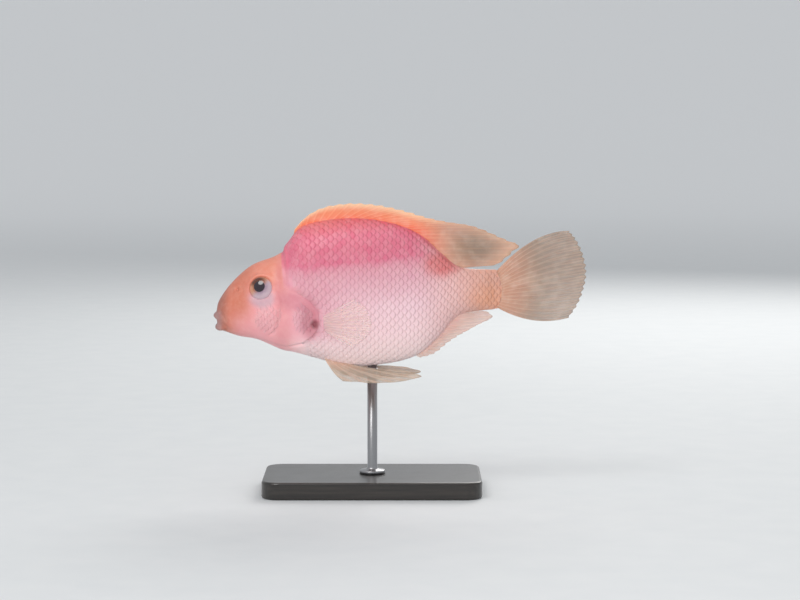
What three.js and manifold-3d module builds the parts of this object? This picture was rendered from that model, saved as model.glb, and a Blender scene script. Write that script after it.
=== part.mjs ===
// Blood parrot cichlid at life size, a still model held on a plain display stand.
// Millimetres, +Z up. The head points to -X and the fish's left side faces -Y.
// The origin is the centre of the stand's underside, with the rod rising from it.
// The fish is modelled in its own frame, whose origin lies on the body's axis, and is then lifted.
import * as THREE from 'three';
import { mergeVertices } from 'three/addons/utils/BufferGeometryUtils.js';
import Module from 'manifold-3d';

const wasm = await Module();
wasm.setup();

// Driving dimensions
const fishHeight = 84; // body axis above the floor
const gap = 0.3; // between pieces that touch
const finGap = 0.33; // under the fins of the mid line
const rodAlong = -11.6; // where the rod meets the belly, along the fish
const tailSway = 5; // how far the tail's tip swings to the right side
const swayStart = 8; // along the fish, where that swing begins
const tailTip = 75;
const waist = 0.45; // height of a section's widest point, as a share of its depth
const membrane = 0.5; // thickness of the fins between their rays
const coverDepth = 1.6; // the gill cover's thickness below the skin
const eyeAt = [-56, -0.8]; // along and up
const eyeRadius = 5.1;
const eyeDepth = 3;
const eyeSunk = 1.4; // the eye's centre below the skin
const pupilRadius = 2.4;
const rodRadius = 2;
const baseLength = 88;
const baseWidth = 50;
const baseThick = 7;
const baseBevel = 1;
const baseCorner = 7;

// The body from lips to tail: the back line, the belly line, the half width, and how many rings reach
// to the next station.
const stations = [
  { name: 'mouth', back: [-74.8, -14.7], belly: [-74.8, -14.7], half: 0, rings: 3 },
  { name: 'lips', back: [-74.4, -11.5], belly: [-73.7, -17.9], half: 3.6, rings: 2 },
  { name: 'muzzle', back: [-73.3, -6.5], belly: [-70.1, -19.4], half: 5.7, rings: 3 },
  { name: 'snout', back: [-68.0, 0.8], belly: [-64.8, -21.1], half: 8.0, rings: 3 },
  { name: 'brow', back: [-60.0, 7.7], belly: [-57.6, -22.4], half: 10.3, rings: 4 },
  { name: 'nape', back: [-49.6, 11.9], belly: [-48.3, -26.4], half: 12.2, rings: 2 },
  { name: 'hump foot', back: [-46.0, 16.6], belly: [-42.6, -27.8], half: 13.0, rings: 3 },
  { name: 'hump', back: [-39.0, 23.8], belly: [-35.0, -29.8], half: 13.9, rings: 4 },
  { name: 'back', back: [-22.5, 26.7], belly: [-22.1, -33.1], half: 14.4, rings: 4 },
  { name: 'loin', back: [-6.4, 25.4], belly: [-7.2, -32.5], half: 13.2, rings: 4 },
  { name: 'vent', back: [7.0, 20.6], belly: [5.7, -29.2], half: 10.9, rings: 3 },
  { name: 'rump', back: [16.2, 12.7], belly: [15.0, -21.8], half: 8.0, rings: 3 },
  { name: 'stalk root', back: [24.3, 6.9], belly: [23.9, -12.5], half: 5.3, rings: 3 },
  { name: 'stalk end', back: [37.6, 6.0], belly: [37.6, -10.5], half: 3.1, rings: 1 },
  { name: 'stalk cap', back: [40.6, 4.2], belly: [40.6, -8.7], half: 2.3, rings: 2 },
  { name: 'tail root', back: [42.0, -2.2], belly: [42.0, -2.2], half: 0, rings: 0 },
];
const lastStation = stations.length - 1;
const aroundBody = 32;
const tailRootFrom = 13.4; // the station where the tail fin's root begins, above and below

// Colours and finish of each material
const finishes = {
  head: { color: 0xe3947e, roughness: 0.42 },
  gillCover: { color: 0xe29fa3, roughness: 0.4 },
  flesh: { color: 0xe0909f, roughness: 0.42 },
  stalk: { color: 0xdc9c86, roughness: 0.42 },
  lips: { color: 0xcf9f97, roughness: 0.45 },
  dorsal: { color: 0xf09a76, roughness: 0.5 },
  rearFins: { color: 0xd9a28c, roughness: 0.5 },
  underFins: { color: 0xd8bf9a, roughness: 0.5 },
  iris: { color: 0xd59a5c, roughness: 0.15 },
  pupil: { color: 0x17131a, roughness: 0.08 },
  standBase: { color: 0x23211f, roughness: 0.5 },
  standRod: { color: 0x9a9b9c, roughness: 0.35, metalness: 0.9 },
};

const vector = (x, y, z) => new THREE.Vector3(x, y, z);
const mix = THREE.MathUtils.lerp;
const smooth = THREE.MathUtils.smoothstep;

// A curve in the fish's mid plane, through [along, up] points
function lineThrough(points) {
  return new THREE.CatmullRomCurve3(
    points.map(([x, z]) => vector(x, 0, z)), false, 'catmullrom', 0.5);
}

// Closed bodies

// A manifold solid from a geometry, with its faces turned outwards
function solidOf(geometry) {
  const bare = new THREE.BufferGeometry();
  bare.setAttribute('position', geometry.getAttribute('position'));
  bare.setIndex(geometry.index);
  const merged = mergeVertices(bare, 1e-4);
  const corners = [];
  for (let i = 0; i < merged.index.count; i += 3) {
    const [a, b, c] = [0, 1, 2].map((k) => merged.index.getX(i + k));
    if (a !== b && b !== c && a !== c) corners.push([a, b, c]);
  }
  const build = (faces) => new wasm.Manifold(new wasm.Mesh({
    numProp: 3,
    vertProperties: new Float32Array(merged.attributes.position.array),
    triVerts: new Uint32Array(faces.flat()),
  }));
  const made = build(corners);
  return made.volume() > 0 ? made : build(corners.map(([a, b, c]) => [a, c, b]));
}

function geometryFrom(points, faces) {
  const geometry = new THREE.BufferGeometry();
  geometry.setAttribute('position',
    new THREE.Float32BufferAttribute(points.flatMap((p) => [p.x, p.y, p.z]), 3));
  geometry.setIndex(faces.flat());
  return geometry;
}

// Rings of equal count, closed by a point at each end
function loft(rings, firstTip, lastTip) {
  const around = rings[0].length;
  const points = [firstTip, ...rings.flat(), lastTip];
  const faces = [];
  const at = (ring, k) => 1 + ring * around + (k % around);
  for (let k = 0; k < around; k += 1) {
    faces.push([0, at(0, k + 1), at(0, k)]);
    faces.push([points.length - 1, at(rings.length - 1, k), at(rings.length - 1, k + 1)]);
    for (let ring = 0; ring < rings.length - 1; ring += 1) {
      faces.push([at(ring, k), at(ring, k + 1), at(ring + 1, k + 1)]);
      faces.push([at(ring, k), at(ring + 1, k + 1), at(ring + 1, k)]);
    }
  }
  return geometryFrom(points, faces);
}

// A tapered tube along a curve, with domed ends
function tube(curve, radiusAt, steps, sides) {
  const frames = curve.computeFrenetFrames(steps, false);
  const rings = [];
  for (let i = 1; i < steps; i += 1) {
    const centre = curve.getPointAt(i / steps);
    const radius = radiusAt(i / steps);
    rings.push(Array.from({ length: sides }, (_, k) => {
      const turn = (k / sides) * Math.PI * 2;
      return centre.clone()
        .addScaledVector(frames.normals[i], Math.cos(turn) * radius)
        .addScaledVector(frames.binormals[i], Math.sin(turn) * radius);
    }));
  }
  return loft(rings, curve.getPointAt(0), curve.getPointAt(1));
}

// A flat outline in the side view, pushed across the fish from one width to another
function throughFish(points, from = -40, to = 40) {
  const shape = new THREE.Shape(points.map(([x, z]) => new THREE.Vector2(x, z)));
  const geometry = new THREE.ExtrudeGeometry(shape, { depth: to - from, bevelEnabled: false });
  geometry.rotateX(Math.PI / 2);
  geometry.translate(0, to, 0);
  return solidOf(geometry);
}

// A thin wall through the fish that parts it along a line
function partingWall(line) {
  const beside = (share) => line.map(([x, z], i) => {
    const [ax, az] = line[Math.max(i - 1, 0)];
    const [bx, bz] = line[Math.min(i + 1, line.length - 1)];
    const length = Math.hypot(bx - ax, bz - az);
    return [x - ((bz - az) / length) * gap * share, z + ((bx - ax) / length) * gap * share];
  });
  return throughFish([...beside(0.5), ...beside(-0.5).reverse()]);
}

// The body

const backLine = lineThrough(stations.map((s) => s.back));
const bellyLine = lineThrough(stations.map((s) => s.belly));
const widthLine = lineThrough(stations.map((s) => [s.half, 0]));

// A point of the skin: station is a place along the body, turn runs from the back (0) down the left side
function skin(station, turn) {
  const t = station / lastStation;
  const up = Math.cos(turn);
  const side = Math.sin(turn);
  const height = up > 0 ? waist + (1 - waist) * up : waist * (1 + up);
  const point = bellyLine.getPoint(t).lerp(backLine.getPoint(t), height);
  const roundness = up > 0 ? 1.12 : 0.86; // a keeled back and a full belly
  point.y = -Math.sign(side) * widthLine.getPoint(t).x * Math.abs(side) ** roundness;
  return point;
}

// The whole body, moved outwards by lift, which may vary along the fish
function body(lift = () => 0) {
  const places = stations.flatMap((s, i) => Array.from({ length: s.rings }, (_, k) => i + k / s.rings)).slice(1);
  const rings = places.map((place) => Array.from({ length: aroundBody },
    (_, k) => skin(place, (k / aroundBody) * Math.PI * 2)));
  const geometry = loft(rings, skin(0, 0), skin(lastStation, 0));
  geometry.computeVertexNormals();
  const { position, normal } = geometry.attributes;
  const outward = normal.getX(0) < 0 ? 1 : -1; // the first point is the mouth, which faces -X
  for (let i = 0; i < position.count; i += 1) {
    const point = vector().fromBufferAttribute(position, i);
    point.addScaledVector(vector().fromBufferAttribute(normal, i), outward * lift(point.x));
    position.setXYZ(i, point.x, point.y, point.z);
  }
  return solidOf(geometry);
}

// The point of a flank at a place in the side view, with its outward normal
function onFlank(x, z, side) {
  let best = { station: lastStation / 2, turn: Math.PI / 2 };
  for (let reach = 1; reach > 0.001; reach *= 0.6) {
    const near = best;
    let least = Infinity;
    for (let i = -6; i <= 6; i += 1) {
      for (let k = -6; k <= 6; k += 1) {
        const station = THREE.MathUtils.clamp(near.station + (i / 6) * reach * 7, 0.01, lastStation - 0.01);
        const turn = THREE.MathUtils.clamp(near.turn + (k / 6) * reach * 1.5, 0.01, Math.PI - 0.01);
        const p = skin(station, turn);
        const miss = Math.hypot(p.x - x, p.z - z);
        if (miss < least) {
          least = miss;
          best = { station, turn };
        }
      }
    }
  }
  const point = skin(best.station, best.turn);
  const along = skin(best.station + 0.05, best.turn).sub(point);
  const down = skin(best.station, best.turn + 0.05).sub(point);
  const normal = along.cross(down).normalize();
  if (normal.y > 0) normal.negate();
  point.y *= -side;
  normal.y *= -side;
  return { point, normal };
}

// The point of the skin at a place along the fish and a turn from its back, with its outward normal
function onTurn(x, turn, side) {
  let [low, high] = [0, lastStation];
  for (let i = 0; i < 40; i += 1) {
    const half = (low + high) / 2;
    if (skin(half, turn).x < x) low = half;
    else high = half;
  }
  const point = skin(low, turn);
  return onFlank(point.x, point.z, side);
}

// Turns and moves a geometry so that its +Z points out of the flank, sunk below the skin
function setOnFlank(geometry, place, sunk) {
  geometry.applyQuaternion(new THREE.Quaternion().setFromUnitVectors(vector(0, 0, 1), place.normal));
  const seat = place.point.clone().addScaledVector(place.normal, -sunk);
  geometry.translate(seat.x, seat.y, seat.z);
  return geometry;
}

// The largest of the bodies that a cut leaves
const largest = (solid) => solid.decompose().sort((a, b) => b.volume() - a.volume())[0];

// Fins

// A membrane stiffened by rays that stand out of both faces. rootAt(u) and edgeAt(u) are the ends of
// the ray at u, from the fin's first ray (0) to its last (1), and bowAt(u) is how far it bends.
function fin({ rays, rows, rootAt, edgeAt, bowAt = () => vector(0, 0, 0), thick = 0.9, ridge = 0.25, notchAt = () => 0.03 }) {
  const perRay = 3; // the ray's crest and the membrane's two edges beside it
  const stops = [0, 0.26, 0.74];
  const columns = (rays - 1) * perRay + 1;
  const u = Array.from({ length: columns },
    (_, i) => (Math.floor(i / perRay) + stops[i % perRay]) / (rays - 1));
  const place = (i, v) => {
    const reach = v * (i % perRay === 0 ? 1 : 1 - notchAt(u[i]));
    return rootAt(u[i]).lerp(edgeAt(u[i]), reach)
      .addScaledVector(bowAt(u[i]), 4 * reach * (1 - reach));
  };
  const points = [];
  for (const face of [1, -1]) {
    for (let i = 0; i < columns; i += 1) {
      for (let j = 0; j <= rows; j += 1) {
        const v = j / rows;
        const alongRay = place(i, Math.min(v + 0.02, 1)).sub(place(i, Math.max(v - 0.02, 0)));
        const across = place(Math.min(i + 1, columns - 1), v).sub(place(Math.max(i - 1, 0), v));
        const normal = across.cross(alongRay).normalize();
        const crest = i % perRay === 0 ? ridge * (1 - 0.55 * v) : 0;
        const half = mix(thick, membrane, Math.min(1, v * 1.6)) / 2 + crest;
        points.push(place(i, v).addScaledVector(normal, face * half));
      }
    }
  }
  const perFace = columns * (rows + 1);
  const at = (face, i, j) => face * perFace + i * (rows + 1) + j;
  const faces = [];
  const quad = (a, b, c, d) => faces.push([a, b, c], [a, c, d]);
  for (let i = 0; i < columns - 1; i += 1) {
    for (let j = 0; j < rows; j += 1) {
      faces.push([at(0, i, j), at(0, i + 1, j + 1), at(0, i + 1, j)]);
      faces.push([at(0, i, j), at(0, i, j + 1), at(0, i + 1, j + 1)]);
      quad(at(1, i, j), at(1, i + 1, j), at(1, i + 1, j + 1), at(1, i, j + 1));
    }
    quad(at(0, i, 0), at(0, i + 1, 0), at(1, i + 1, 0), at(1, i, 0));
    quad(at(0, i, rows), at(1, i, rows), at(1, i + 1, rows), at(0, i + 1, rows));
  }
  for (let j = 0; j < rows; j += 1) {
    const last = columns - 1;
    quad(at(0, 0, j), at(1, 0, j), at(1, 0, j + 1), at(0, 0, j + 1));
    quad(at(0, last, j), at(0, last, j + 1), at(1, last, j + 1), at(1, last, j));
  }
  return solidOf(geometryFrom(points, faces));
}

// The point of the back or belly line at a place along the fish, moved clear of the skin
function edgeOfBody(line, x, away) {
  let [low, high] = [0, 1];
  for (let i = 0; i < 40; i += 1) {
    const half = (low + high) / 2;
    if (line.getPoint(half).x < x) low = half;
    else high = half;
  }
  const along = line.getTangent(low);
  return line.getPoint(low).addScaledVector(vector(-along.z, 0, along.x), away);
}

// A fin in the mid plane, rooted between two places along the back or belly line
function midFin(line, rootFrom, rootTo, away, margin, options) {
  const edge = lineThrough(margin);
  return fin({
    rootAt: (u) => edgeOfBody(line, mix(rootFrom, rootTo, u), away),
    edgeAt: (u) => edge.getPointAt(u),
    ...options,
  });
}

const whole = body();
const clearance = body(() => gap);

const dorsalMargin = [[-42.8, 22.2], [-39.8, 25.6], [-36.4, 28.4], [-32.2, 30.5], [-26.9, 31.9], [-18.4, 32.6], [-8.4, 31.8],
  [1.7, 29.5], [12, 26.5], [20.5, 24.8], [27.5, 23.7], [33.2, 21.9], [39, 19.3], [44.4, 17], [48.2, 15.6],
  [46.8, 14.0], [44, 11.7], [41, 9.1], [37.8, 7.5], [32.5, 7.2]];
const dorsalFin = midFin(backLine, -43.4, 23.4, finGap, dorsalMargin, {
  rays: 28,
  rows: 3,
  notchAt: (u) => (u < 0.6 ? 0.08 : 0.03),
});

const analMargin = [[7.8, -29.9], [13.8, -28], [19.9, -23.2], [26.3, -19.3], [32, -16.2], [37, -13.6],
  [34.6, -11.2], [29.4, -10.9]];
const analFin = midFin(bellyLine, 5, 24.6, 0, analMargin, {
  rays: 16,
  rows: 3,
  notchAt: (u) => (u < 0.5 ? 0.1 : 0.03),
});

// The tail fin's root follows the rounded end of the stalk
function caudalRoot(u) {
  const line = u < 0.5 ? backLine : bellyLine;
  const point = line.getPoint(mix(1, tailRootFrom / lastStation, Math.abs(2 * u - 1)));
  const middle = vector(36, 0, -2.2);
  return point.addScaledVector(point.clone().sub(middle).normalize(), finGap);
}
const caudalMargin = lineThrough([[68, 21.2], [71.1, 17.3], [73.9, 11.2], [75.1, 4.8], [74.3, -1.6],
  [71.9, -8.1], [68, -14.1]]);
const caudalFin = fin({
  rays: 17,
  rows: 5,
  notchAt: () => 0.015,
  rootAt: caudalRoot,
  edgeAt: (u) => caudalMargin.getPoint(u),
  bowAt: (u) => vector(0, 0, mix(4.2, -3.2, u)),
});

// Paired fins hang off one side: -1 is the left, which is -Y, and 1 the right
function pelvicFin(side) {
  const edge = lineThrough([[-23.3, -38.3], [-11.6, -39.1], [-0.3, -38.7], [8.2, -36.6], [1.7, -34.4], [-8.4, -33.9]]);
  return fin({
    rays: 6,
    rows: 6,
    thick: 0.9,
    rootAt: (u) => {
      const { point, normal } = onTurn(mix(-31, -25.4, u), mix(2.8, 2.9, u), side);
      return point.addScaledVector(normal, finGap + 0.2);
    },
    edgeAt: (u) => edge.getPoint(u).setY(side * mix(9.8, 6.2, u)),
    bowAt: () => vector(0, side * 0.7, -1.1),
  });
}

function pectoralFin(side) {
  const edge = lineThrough([[-18.4, -4.2], [-13.4, -8.2], [-11.6, -13.7], [-13.4, -19], [-19.2, -23.6]]);
  return fin({
    rays: 11,
    rows: 4,
    thick: 1.1,
    ridge: 0.2,
    rootAt: (u) => onFlank(mix(-32, -30.6, u), mix(-12.2, -18.2, u), side).point.add(vector(0, -side, 0)),
    edgeAt: (u) => {
      const tip = edge.getPoint(u);
      return tip.setY(side * (14 + 0.5 * (tip.x + 31)));
    },
    bowAt: () => vector(0, side * 1.2, 0),
  });
}

// Head

const gillCentre = [-46.3, -13.3];
const gillReach = [13.5, 10.9];

// The gill cover's rear edge, as part of an ellipse, swung from one angle down to another
function gillArc(from, to, steps, grow) {
  return Array.from({ length: steps + 1 }, (_, i) => {
    const angle = THREE.MathUtils.degToRad(mix(from, to, i / steps));
    return [
      gillCentre[0] + (gillReach[0] + grow) * Math.cos(angle),
      gillCentre[1] + (gillReach[1] + grow) * Math.sin(angle),
    ];
  });
}

function gillOutline(grow) {
  const [front, bottom, top] = [gillCentre[0] - grow, gillCentre[1] - gillReach[1], gillCentre[1] + gillReach[1]];
  const hollow = new THREE.QuadraticBezierCurve(new THREE.Vector2(front, bottom - grow),
    new THREE.Vector2(front + 3.1, gillCentre[1]), new THREE.Vector2(front, top + grow));
  return [...gillArc(89, -89, 22, grow), ...hollow.getPoints(8).map((p) => [p.x, p.y])];
}

// A thickness that acts around the gills only and fades out before the mouth and the tail
const aroundGills = (amountAt) => (x) => amountAt(x) * smooth(x, -57, -51) * (1 - smooth(x, -28, -22));
const coverRise = (x) => mix(0.06, 0.75, smooth(x, -46, -34));

function gillCover(side) {
  const [from, to] = side < 0 ? [-40, -2] : [2, 40];
  return throughFish(gillOutline(0), from, to)
    .intersect(body(aroundGills(coverRise)))
    .subtract(body(aroundGills(() => -coverDepth)));
}

const gillPocket = throughFish(gillOutline(gap)).subtract(body(aroundGills(() => -coverDepth - gap)));

// The crease behind the skull, then the gill cover's edge, then down to the belly
const headLine = [[-48.9, 18], [-48.2, 14], [-46.8, 8.9], [-45.9, 1.6], [-42.6, -2.2],
  ...gillArc(60, -62, 16, gap / 2), [-38.6, -28], [-38.2, -36]];
const stalkLine = [[24.8, 13], [23.8, -3], [25.6, -19]];

function eyeBall(side, grow) {
  const ball = new THREE.SphereGeometry(1, 20, 10);
  ball.rotateX(Math.PI / 2);
  ball.scale(eyeRadius + grow, eyeRadius + grow, eyeDepth + grow);
  return solidOf(setOnFlank(ball, onFlank(...eyeAt, side), eyeSunk));
}

function eyeRim(side) {
  const rim = new THREE.TorusGeometry(eyeRadius + 0.1, 0.85, 6, 24);
  return solidOf(setOnFlank(rim, onFlank(...eyeAt, side), 0.6));
}

function pupil(side, grow) {
  const lens = new THREE.SphereGeometry(1, 12, 6);
  lens.rotateX(Math.PI / 2);
  lens.scale(pupilRadius + grow, pupilRadius + grow, 1 + grow);
  lens.translate(-0.5, -side * 0.5, eyeDepth - 0.8); // a little forward and up
  return solidOf(setOnFlank(lens, onFlank(...eyeAt, side), eyeSunk));
}

function nostril(side) {
  const pit = new THREE.SphereGeometry(0.75, 8, 6);
  pit.scale(1.2, 0.85, 1.4);
  return solidOf(setOnFlank(pit, onFlank(-65.6, -1.6, side), 0.1));
}

// Fleshy lips from one corner of the mouth round to the other
function lip(corner, middle, front, radius, grow) {
  const half = [corner, middle];
  const path = new THREE.CatmullRomCurve3([
    ...half.map(([x, y, z]) => vector(x, -y, z)),
    vector(...front),
    ...half.reverse().map(([x, y, z]) => vector(x, y, z)),
  ], false, 'catmullrom', 0.5);
  const fullness = (t) => Math.sin(Math.PI * t) ** 0.45;
  return solidOf(tube(path, (t) => radius * fullness(t) + grow, 14, 8));
}
const upperLip = (grow) => lip([-71.6, 4.8, -15.9], [-73.5, 3, -13.5], [-74.5, 0, -12.6], 1.3, grow);
const lowerLip = (grow) => lip([-71.1, 4.6, -17.9], [-72.9, 2.8, -17.7], [-73.9, 0, -17.3], 1.25, grow);

function mouthSlit() {
  const slit = new THREE.SphereGeometry(1, 14, 8);
  slit.scale(5.2, 3.3, 1.05);
  slit.rotateY(THREE.MathUtils.degToRad(-20));
  slit.translate(-75, 0, -15);
  return solidOf(slit);
}

// Stand

function standBase() {
  const outline = new THREE.Shape();
  const [x, y, r] = [baseLength / 2 - baseBevel, baseWidth / 2 - baseBevel, baseCorner - baseBevel];
  outline.moveTo(-x + r, -y);
  outline.lineTo(x - r, -y);
  outline.absarc(x - r, -y + r, r, -Math.PI / 2, 0, false);
  outline.absarc(x - r, y - r, r, 0, Math.PI / 2, false);
  outline.absarc(-x + r, y - r, r, Math.PI / 2, Math.PI, false);
  outline.absarc(-x + r, -y + r, r, Math.PI, Math.PI * 1.5, false);
  const plate = new THREE.ExtrudeGeometry(outline, {
    depth: baseThick - 2 * baseBevel,
    bevelThickness: baseBevel,
    bevelSize: baseBevel,
    bevelSegments: 2,
    curveSegments: 5,
  });
  return solidOf(plate.translate(0, 0, baseBevel));
}

// The rod stands on a small foot and ends in the belly's own shape
function standRod() {
  const foot = baseThick + gap;
  const top = fishHeight - 29;
  const profile = [[0, foot], [5.2, foot], [5.2, foot + 0.9], [4.7, foot + 1.4], [rodRadius + 0.5, foot + 1.8],
    [rodRadius, foot + 2.6], [rodRadius, top], [0, top]];
  const rod = new THREE.LatheGeometry(profile.map(([r, z]) => new THREE.Vector2(r, z)), 18);
  rod.rotateX(Math.PI / 2);
  rod.translate(rodAlong, 0, -fishHeight);
  return solidOf(rod).subtract(clearance);
}

// The fish

// Swings the rear of the fish to its right by a smooth bend
function swayed(x) {
  const share = Math.max(0, (x - swayStart) / (tailTip - swayStart));
  return tailSway * share ** 1.8;
}

const fish = new THREE.Group();
fish.position.set(-rodAlong, 0, fishHeight);

function add(group, name, solid, finish) {
  const mesh = largest(solid).getMesh();
  const points = [];
  for (let i = 0; i < mesh.vertProperties.length; i += mesh.numProp) {
    const [x, y, z] = mesh.vertProperties.slice(i, i + 3);
    points.push(vector(x, group === fish ? y + swayed(x) : y, z));
  }
  const faces = [];
  for (let i = 0; i < mesh.triVerts.length; i += 3) faces.push([...mesh.triVerts.slice(i, i + 3)]);
  const geometry = geometryFrom(points, faces);
  geometry.computeVertexNormals();
  const node = new THREE.Mesh(geometry, new THREE.MeshStandardMaterial({ ...finish, side: THREE.DoubleSide }));
  node.name = name;
  group.add(node);
}

const sides = { left: -1, right: 1 };
const parted = whole.subtract(partingWall(headLine)).subtract(partingWall(stalkLine)).decompose()
  .sort((a, b) => b.volume() - a.volume()).slice(0, 3)
  .sort((a, b) => a.boundingBox().min[0] - b.boundingBox().min[0]);
let [head, trunk, tailStalk] = parted;

head = head.subtract(gillPocket);
for (const side of Object.values(sides)) {
  head = head.add(eyeRim(side)).subtract(eyeBall(side, gap)).subtract(nostril(side));
}
head = head.subtract(upperLip(gap)).subtract(lowerLip(gap)).subtract(mouthSlit());

add(fish, 'head', head, finishes.head);
add(fish, 'upper_lip', upperLip(0), finishes.lips);
add(fish, 'lower_lip', lowerLip(0), finishes.lips);
for (const [name, side] of Object.entries(sides)) {
  add(fish, `gill_cover_${name}`, gillCover(side), finishes.gillCover);
  add(fish, `eye_${name}`, eyeBall(side, 0).subtract(pupil(side, gap)), finishes.iris);
  add(fish, `pupil_${name}`, pupil(side, 0), finishes.pupil);
}
add(fish, 'trunk', trunk, finishes.flesh);
add(fish, 'tail_stalk', tailStalk, finishes.stalk);
add(fish, 'dorsal_fin', dorsalFin, finishes.dorsal);
add(fish, 'caudal_fin', caudalFin, finishes.rearFins);
add(fish, 'anal_fin', analFin.subtract(clearance), finishes.rearFins);
for (const [name, side] of Object.entries(sides)) {
  add(fish, `pelvic_fin_${name}`, pelvicFin(side), finishes.underFins);
  add(fish, `pectoral_fin_${name}`, pectoralFin(side).subtract(clearance), finishes.underFins);
}

const stand = new THREE.Group();
add(fish, 'stand_rod', standRod(), finishes.standRod);
add(stand, 'stand_base', standBase(), finishes.standBase);

const model = new THREE.Group();
model.add(fish, stand);

export default model;
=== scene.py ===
import math
import random
import bmesh
import bpy
from mathutils import Matrix, Vector
from mathutils.bvhtree import BVHTree


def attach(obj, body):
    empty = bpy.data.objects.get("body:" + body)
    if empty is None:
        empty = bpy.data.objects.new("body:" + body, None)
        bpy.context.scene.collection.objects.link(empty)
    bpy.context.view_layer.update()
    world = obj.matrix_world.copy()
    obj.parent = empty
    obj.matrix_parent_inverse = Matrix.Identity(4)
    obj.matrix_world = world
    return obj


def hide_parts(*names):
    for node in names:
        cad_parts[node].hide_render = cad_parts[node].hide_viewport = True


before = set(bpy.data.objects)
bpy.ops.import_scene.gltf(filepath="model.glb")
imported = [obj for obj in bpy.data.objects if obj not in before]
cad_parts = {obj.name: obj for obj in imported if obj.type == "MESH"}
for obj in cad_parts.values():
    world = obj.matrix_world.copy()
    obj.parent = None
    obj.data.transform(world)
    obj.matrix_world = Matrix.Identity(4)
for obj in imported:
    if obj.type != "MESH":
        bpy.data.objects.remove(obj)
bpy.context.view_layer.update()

# The fish is modelled in millimetres about its own axis, then settled on the stand in metres.
# Along runs from the lips to the tail, up is up, and the left side is at negative y.
placing = dict(
    forward=11.6,  # the rod meets the belly this far ahead of the body's middle
    height=84,
    tailSway=5,  # to the fish's right
    swayStart=8,
    swayPower=1.8,
    tailTip=75,
)
sides = ((-1, "left"), (1, "right"))

bodyShape = dict(
    back=[(-74.8, -14.7), (-74.4, -11.5), (-73.3, -6.5), (-68.0, 0.8), (-60.0, 7.7), (-49.6, 11.9),
          (-46.0, 16.6), (-39.0, 23.8), (-22.5, 26.7), (-6.4, 25.4), (7.0, 20.6), (16.2, 12.7),
          (24.3, 6.9), (37.6, 6.0), (40.6, 4.2), (42.0, -2.2)],
    belly=[(-74.8, -14.7), (-73.7, -17.9), (-70.1, -19.4), (-64.8, -21.1), (-57.6, -22.4),
           (-48.3, -26.4), (-42.6, -27.8), (-35.0, -29.8), (-22.1, -33.1), (-7.2, -32.5),
           (5.7, -29.2), (15.0, -21.8), (23.9, -12.5), (37.6, -10.5), (40.6, -8.7), (42.0, -2.2)],
    halfWidth=[0, 3.6, 5.7, 8.0, 10.3, 12.2, 13.0, 13.9, 14.4, 13.2, 10.9, 8.0, 5.3, 3.1, 2.3, 0],
    waist=0.45,  # height of the widest point, as a share of the depth
    keel=1.12,
    fullness=0.86,
    wedgeFrom=33,  # the stalk thins to a wedge under the tail fin
    wedgeTo=41.5,
    wedge=0.33,
    around=80,
    rings=190,
    grain=0.42,  # size of the finished skin's faces
)


def mix(a, b, share):
    return a + (b - a) * share


def smooth(value, low, high):
    t = min(max((value - low) / (high - low), 0), 1)
    return t * t * (3 - 2 * t)


def bell(value, centre, width):
    return math.exp(-((value - centre) / width) ** 2)


def curveAt(points, t):  # a smooth line through points, t from 0 to 1
    spans = len(points) - 1
    place = min(max(t, 0), 1) * spans
    i = min(int(place), spans - 1)
    w = place - i
    p1, p2 = Vector(points[i]), Vector(points[i + 1])
    p0 = Vector(points[i - 1]) if i > 0 else 2 * p1 - p2
    p3 = Vector(points[i + 2]) if i + 2 <= spans else 2 * p2 - p1
    m1, m2 = (p2 - p0) / 2, (p3 - p1) / 2
    return ((2 * w ** 3 - 3 * w * w + 1) * p1 + (w ** 3 - 2 * w * w + w) * m1
            + (-2 * w ** 3 + 3 * w * w) * p2 + (w ** 3 - w * w) * m2)


def bracket(steps, before):  # the two neighbours of a list between which a test turns
    low, high = 0, steps
    while high - low > 1:
        half = (low + high) // 2
        if before(half):
            low = half
        else:
            high = half
    return low, high


def evenCurve(points, steps=240):  # the same line, read at even lengths
    run = [curveAt(points, i / steps) for i in range(steps + 1)]
    lengths = [0]
    for a, b in zip(run, run[1:]):
        lengths.append(lengths[-1] + (b - a).length)

    def at(t):
        goal = min(max(t, 0), 1) * lengths[-1]
        low, high = bracket(steps, lambda i: lengths[i] <= goal)
        span = lengths[high] - lengths[low]
        return run[low].lerp(run[high], (goal - lengths[low]) / span if span else 0)
    return at


widthLine = [(w, 0) for w in bodyShape["halfWidth"]]


def skinAt(share, turn):  # share runs lips to tail, turn from the back (0) down the left side
    s = bodyShape
    back, belly = curveAt(s["back"], share), curveAt(s["belly"], share)
    up, side = math.cos(turn), math.sin(turn)
    height = s["waist"] + (1 - s["waist"]) * up if up > 0 else s["waist"] * (1 + up)
    x, z = belly.lerp(back, height)
    roundness = s["keel"] if up > 0 else s["fullness"]
    y = -math.copysign(curveAt(widthLine, share).x * abs(side) ** roundness, side)
    y *= mix(1, s["wedge"], smooth(x, s["wedgeFrom"], s["wedgeTo"]))
    return Vector((x, y, z))


def linePoint(line, x):  # the point of the back or belly line at a place along the fish
    low, high = 0, 1
    for _ in range(26):  # each pass halves the stretch that holds it
        half = (low + high) / 2
        if curveAt(bodyShape[line], half).x < x:
            low = half
        else:
            high = half
    return curveAt(bodyShape[line], low)


def settle(bm):  # millimetres of the fish to metres on its stand
    for v in bm.verts:
        x, y, z = v.co
        share = max(0, (x - placing["swayStart"]) / (placing["tailTip"] - placing["swayStart"]))
        y += placing["tailSway"] * share ** placing["swayPower"]
        v.co = Vector((x + placing["forward"], y, z + placing["height"])) * 0.001


def bareObject(name, bm):
    mesh = bpy.data.meshes.new(name)
    bm.to_mesh(mesh)
    bm.free()
    piece = bpy.data.objects.new(name, mesh)
    bpy.context.collection.objects.link(piece)
    return piece


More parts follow.
